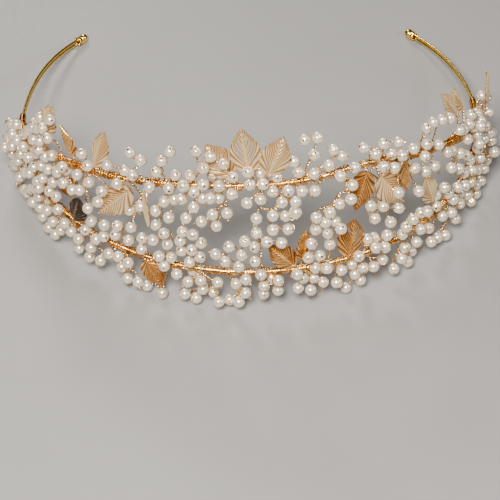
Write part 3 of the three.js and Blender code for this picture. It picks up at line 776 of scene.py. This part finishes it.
# Leaves with their own form: fold, curl, twist and slits as [rib, side, start, end].
OPENWORK = [
    (4, -1, 0.12, 0.6), (6, -1, 0.12, 0.75), (8, -1, 0.14, 0.7), (3, 1, 0.12, 0.6), (5, 1, 0.12, 0.78),
    (7, 1, 0.12, 0.72), (9, 1, 0.16, 0.55),
]
LEAF_FORMS = {
    "front_leaf_2": (0.2, 0.35, 0.1, OPENWORK),
    "front_leaf_1": (0.12, 0.3, 0.3, [(3, 1, 0.15, 0.5), (6, 1, 0.15, 0.45)]),
    "front_leaf_3": (0.15, 0.45, -0.4, [(2, -1, 0.2, 0.5), (4, -1, 0.2, 0.4)]),
    "left_leaf_2": (0.4, 0.4, 0.2, OPENWORK[:5]),
    "left_leaf_3": (0.6, 0.35, 0.0, []),
    "left_leaf_4": (0.35, 0.5, 0.3, []),
    "right_leaf_1": (0.3, 0.3, 0.0, OPENWORK[2:]),
}


def add_leaf(node, slot):
    """A leaf's stamped blade, and the wire stem behind it that is wound onto a rail."""
    rail, row = wrap_point(node)
    line = RAILS[rail]
    tip, along, face, length, width = blade_frame(node, line[row])
    form = (rng.uniform(0.15, 0.4), rng.uniform(0.2, 0.5), rng.uniform(-0.3, 0.3), [])
    fold, curl, twist, slits = LEAF_FORMS.get(node, form)
    points, crease_shade = blade_points(length, width, fold, curl, twist)
    across = np.cross(along, face)
    base = tip - along * length
    front = base + points @ np.array([across, along, face])
    back = front - LEAF_THICK * face
    blade = Shape()
    faces = sheet_faces(slit_mask(slits))
    vertices = np.concatenate([front.reshape(-1, 3), back.reshape(-1, 3)])
    vertices[:, 2] = np.maximum(vertices[:, 2], LEAF_LOWEST)
    # The blade's front and back both carry the painted groove shade.
    blade.add(vertices, faces, tone=np.tile(crease_shade.ravel(), 2))
    blade.piece(f"{node}_blade", LEAVES[slot], slot, [node], sharp=70)
    stem = Shape()
    wire_wrap(stem, line, row)
    behind = face * (LEAF_THICK + STEM_GAP)
    seat = [base + along * length * share - behind for share in (0.02, 0.15, 0.32)]
    path = [line[row], line[row] + unit(seat[0] - line[row]) * 1.5, seat[0] - along * 0.8, *seat]
    twisted(stem, smooth(path, PATH_STEP), STRAND_R * 1.2)
    stem.piece(f"{node}_stem", WIRE, slot, [node])


# The whole tiara ----------------------------------------------------------------------------------

for rail in RAILS:
    add_rail(rail)
for side in ("left", "right"):
    add_end_ball(side)
    add_side_binding(side)
for node in PEARLS:
    add_spray(node)
for entry in frame["record"]["subparts"]:
    if "_leaf_" in entry["node"]:
        add_leaf(entry["node"], entry["material_slot"])


# Stage --------------------------------------------------------------------------------------------

# The camera's angle in degrees, its distance in millimetres and its lens.
VIEW_ELEVATION = 48.0
VIEW_DISTANCE = 660.0
VIEW_LENS = 142.56
AIM = np.array([CROWN[0], rail_low[1] + 6.05, 20.0])


def add_floor():
    """A plain pale sheet of paper. Its size is in metres."""
    mesh = bpy.data.meshes.new("floor")
    size = 3.0
    corners = [(-size, -size, 0), (size, -size, 0), (size, size, 0), (-size, size, 0)]
    mesh.from_pydata(corners, [], [(0, 1, 2, 3)])
    mesh.materials.append(finish_of(
        "floor_paper", (0.3, 0.29, 0.28), (0.285, 0.275, 0.265), (0.5, 0.6), 60, 2.0, 0.01,
        metallic=0.0))
    floor = bpy.data.objects.new("floor", mesh)
    bpy.context.scene.collection.objects.link(floor)


def add_light(name, place, size, power, colour):
    """A round soft light aimed at the tiara. Its place and size are in metres."""
    light = bpy.data.lights.new(name, "AREA")
    light.shape = "DISK"
    light.size = size
    light.energy = power
    light.color = colour
    lamp = bpy.data.objects.new(name, light)
    lamp.location = place
    aim = Vector((AIM * MM).tolist()) - Vector(place)
    lamp.rotation_euler = aim.to_track_quat("-Z", "Y").to_euler()
    bpy.context.scene.collection.objects.link(lamp)


def add_camera():
    """The camera in front of the tiara, looking down at it."""
    camera = bpy.data.objects.new("camera", bpy.data.cameras.new("camera"))
    tilt = math.radians(VIEW_ELEVATION)
    back = np.array([0.0, -math.cos(tilt), math.sin(tilt)])
    camera.location = ((AIM + VIEW_DISTANCE * back) * MM).tolist()
    camera.rotation_euler = Vector((-back).tolist()).to_track_quat("-Z", "Y").to_euler()
    camera.data.lens = VIEW_LENS
    camera.data.clip_start = 0.01
    bpy.context.scene.collection.objects.link(camera)
    bpy.context.scene.camera = camera


add_floor()
add_light("key", (-0.1, -0.5, 0.7), 0.3, 13.0, (1.0, 0.97, 0.93))
add_light("side", (0.6, -0.2, 0.45), 0.2, 1.2, (0.94, 0.97, 1.0))
add_light("back", (-0.2, 0.6, 0.5), 0.25, 2.5, (1.0, 0.98, 0.95))
add_camera()

world = bpy.data.worlds.new("studio")
world.use_nodes = True
world.node_tree.nodes["Background"].inputs["Color"].default_value = (0.75, 0.76, 0.78, 1.0)
world.node_tree.nodes["Background"].inputs["Strength"].default_value = 0.05
bpy.context.scene.world = world
bpy.context.scene.view_settings.look = "AgX - Medium High Contrast"
